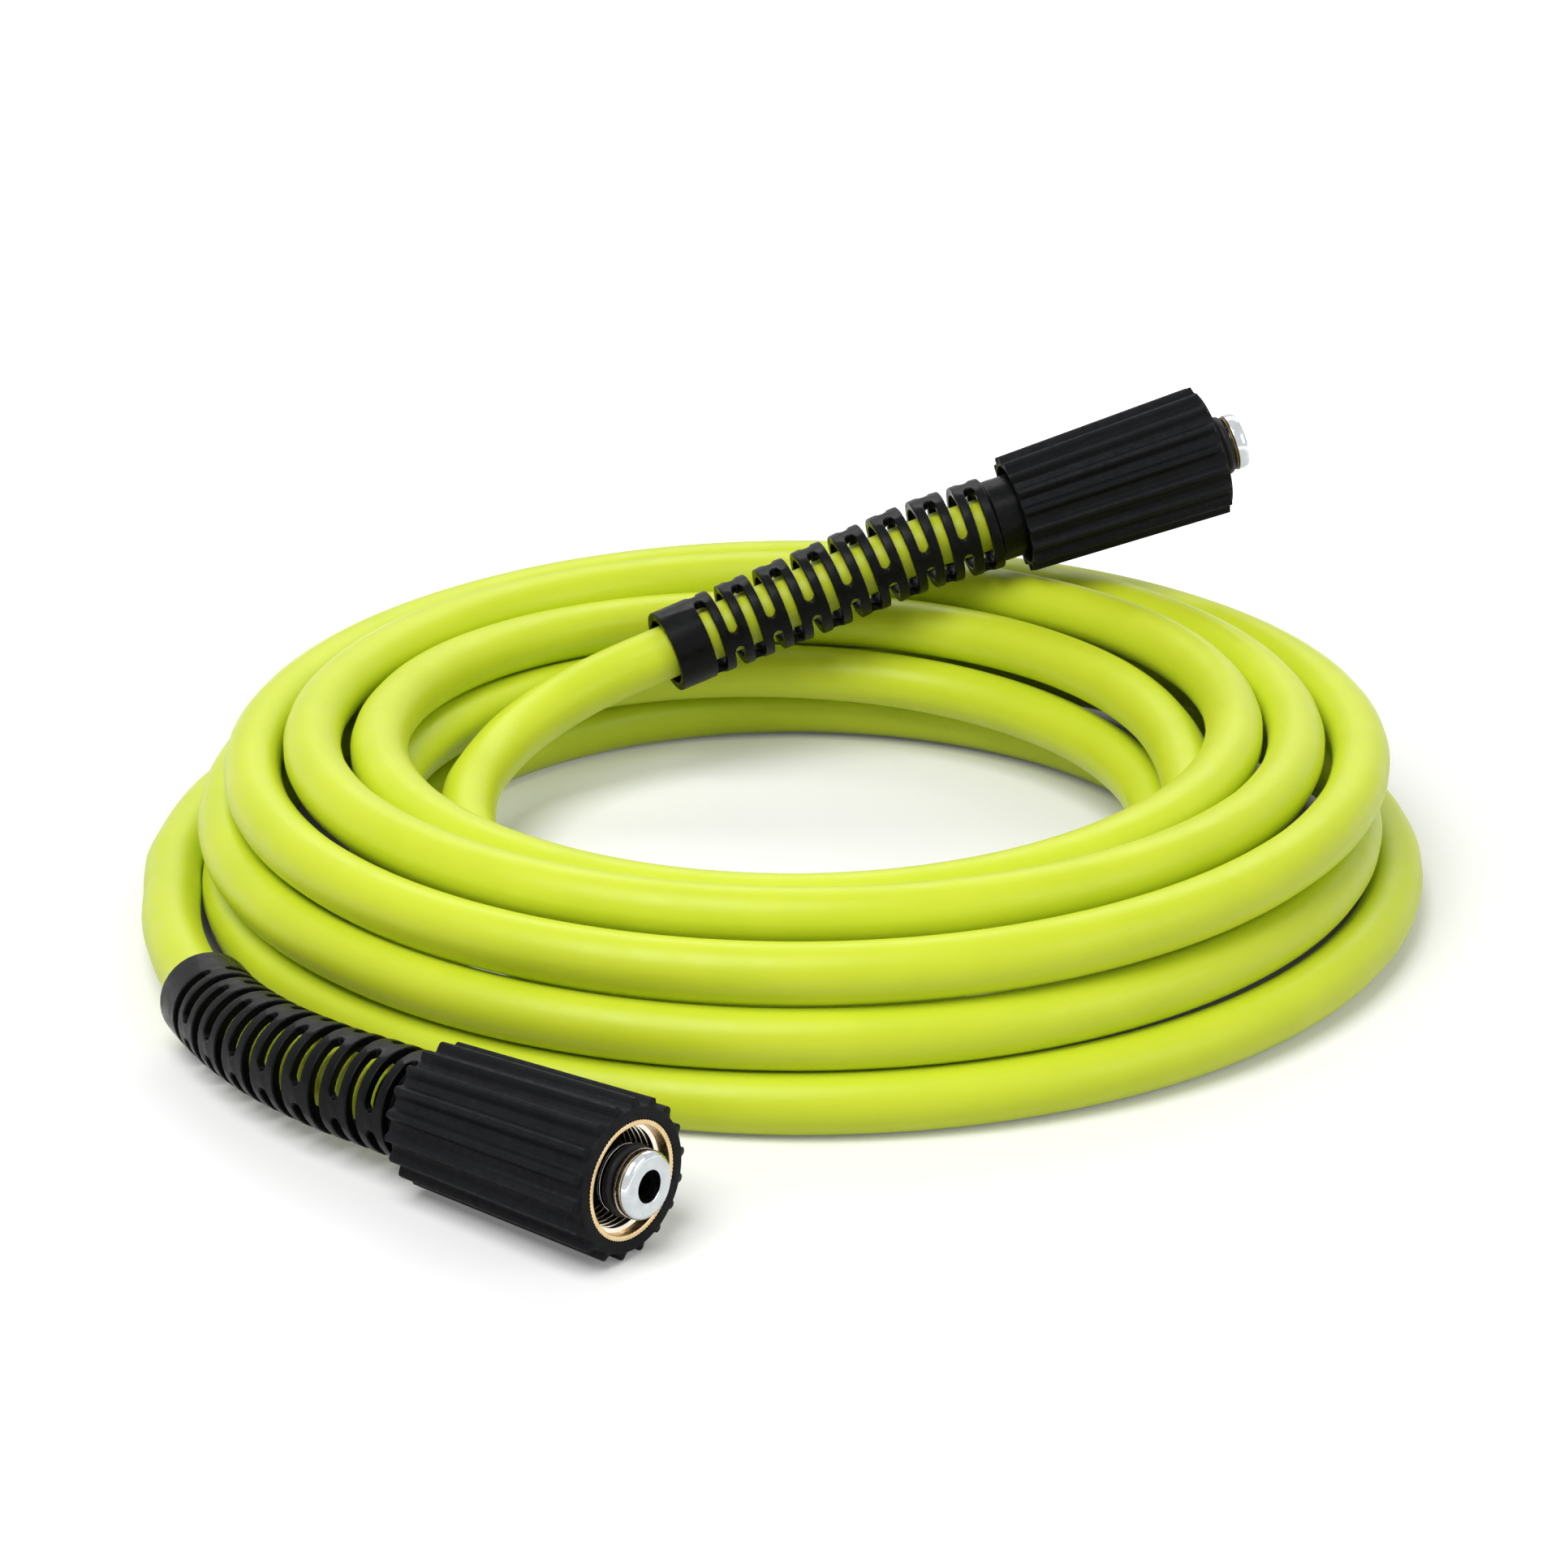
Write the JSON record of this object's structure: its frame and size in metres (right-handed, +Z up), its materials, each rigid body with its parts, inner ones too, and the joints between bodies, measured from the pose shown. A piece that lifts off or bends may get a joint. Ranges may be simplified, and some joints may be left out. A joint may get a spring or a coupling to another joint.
{
  "type": "coiled pressure hose",
  "caption": "Lime high-pressure hose lying in loose round turns, with slotted bend restrictors and ribbed swivel screw couplings that slide a little on their nipples.",
  "frame": {"origin": "on the floor, under the middle of the outline of the coil and both couplings", "axes": "+Z up off the floor, +X to the right and +Y to the back as the hose lies, with one coupling at the front"},
  "size_m": [0.295, 0.3422, 0.0895],
  "materials": {
    "hose": "satin soft PVC",
    "restrictor": "semi-gloss moulded nylon",
    "ferrule": "zinc plated, crimped",
    "nipple": "bright nickel plate",
    "seal": "black nitrile",
    "washer": "white acetal",
    "nut": "turned brass",
    "grip": "fine-grained moulded plastic"
  },
  "bodies": {
    "hose": {"hose_coil": "hose", "front_hose_lead": "hose", "rear_hose_lead": "hose", "front_bend_restrictor": "restrictor", "rear_bend_restrictor": "restrictor", "front_ferrule": "ferrule", "rear_ferrule": "ferrule", "front_nipple": "nipple", "rear_nipple": "nipple", "front_o_ring": "seal", "rear_o_ring": "seal"},
    "front_slip": {"front_slip_washer": "washer"},
    "front_nut": {"front_coupling_nut": "nut", "front_grip": "grip"},
    "rear_slip": {"rear_slip_washer": "washer"},
    "rear_nut": {"rear_coupling_nut": "nut", "rear_grip": "grip"}
  },
  "joints": [
    {"name": "front_nut_slide", "type": "slide", "parent": "hose", "child": "front_slip", "axis": [0.7731, -0.6336, 0.0291], "range_m": [-0.006, 0]},
    {"name": "front_nut_swivel", "type": "hinge", "parent": "front_slip", "child": "front_nut", "pos_m": [-0.02525, -0.16286, 0.0167], "axis": [0.7731, -0.6336, 0.0291], "continuous": true},
    {"name": "rear_nut_slide", "type": "slide", "parent": "hose", "child": "rear_slip", "axis": [0.9429, 0.2103, 0.2582], "range_m": [-0.0026, 0.0034]},
    {"name": "rear_nut_swivel", "type": "hinge", "parent": "rear_slip", "child": "rear_nut", "pos_m": [0.11395, 0.12844, 0.0765], "axis": [0.9429, 0.2103, 0.2582], "continuous": true}
  ]
}
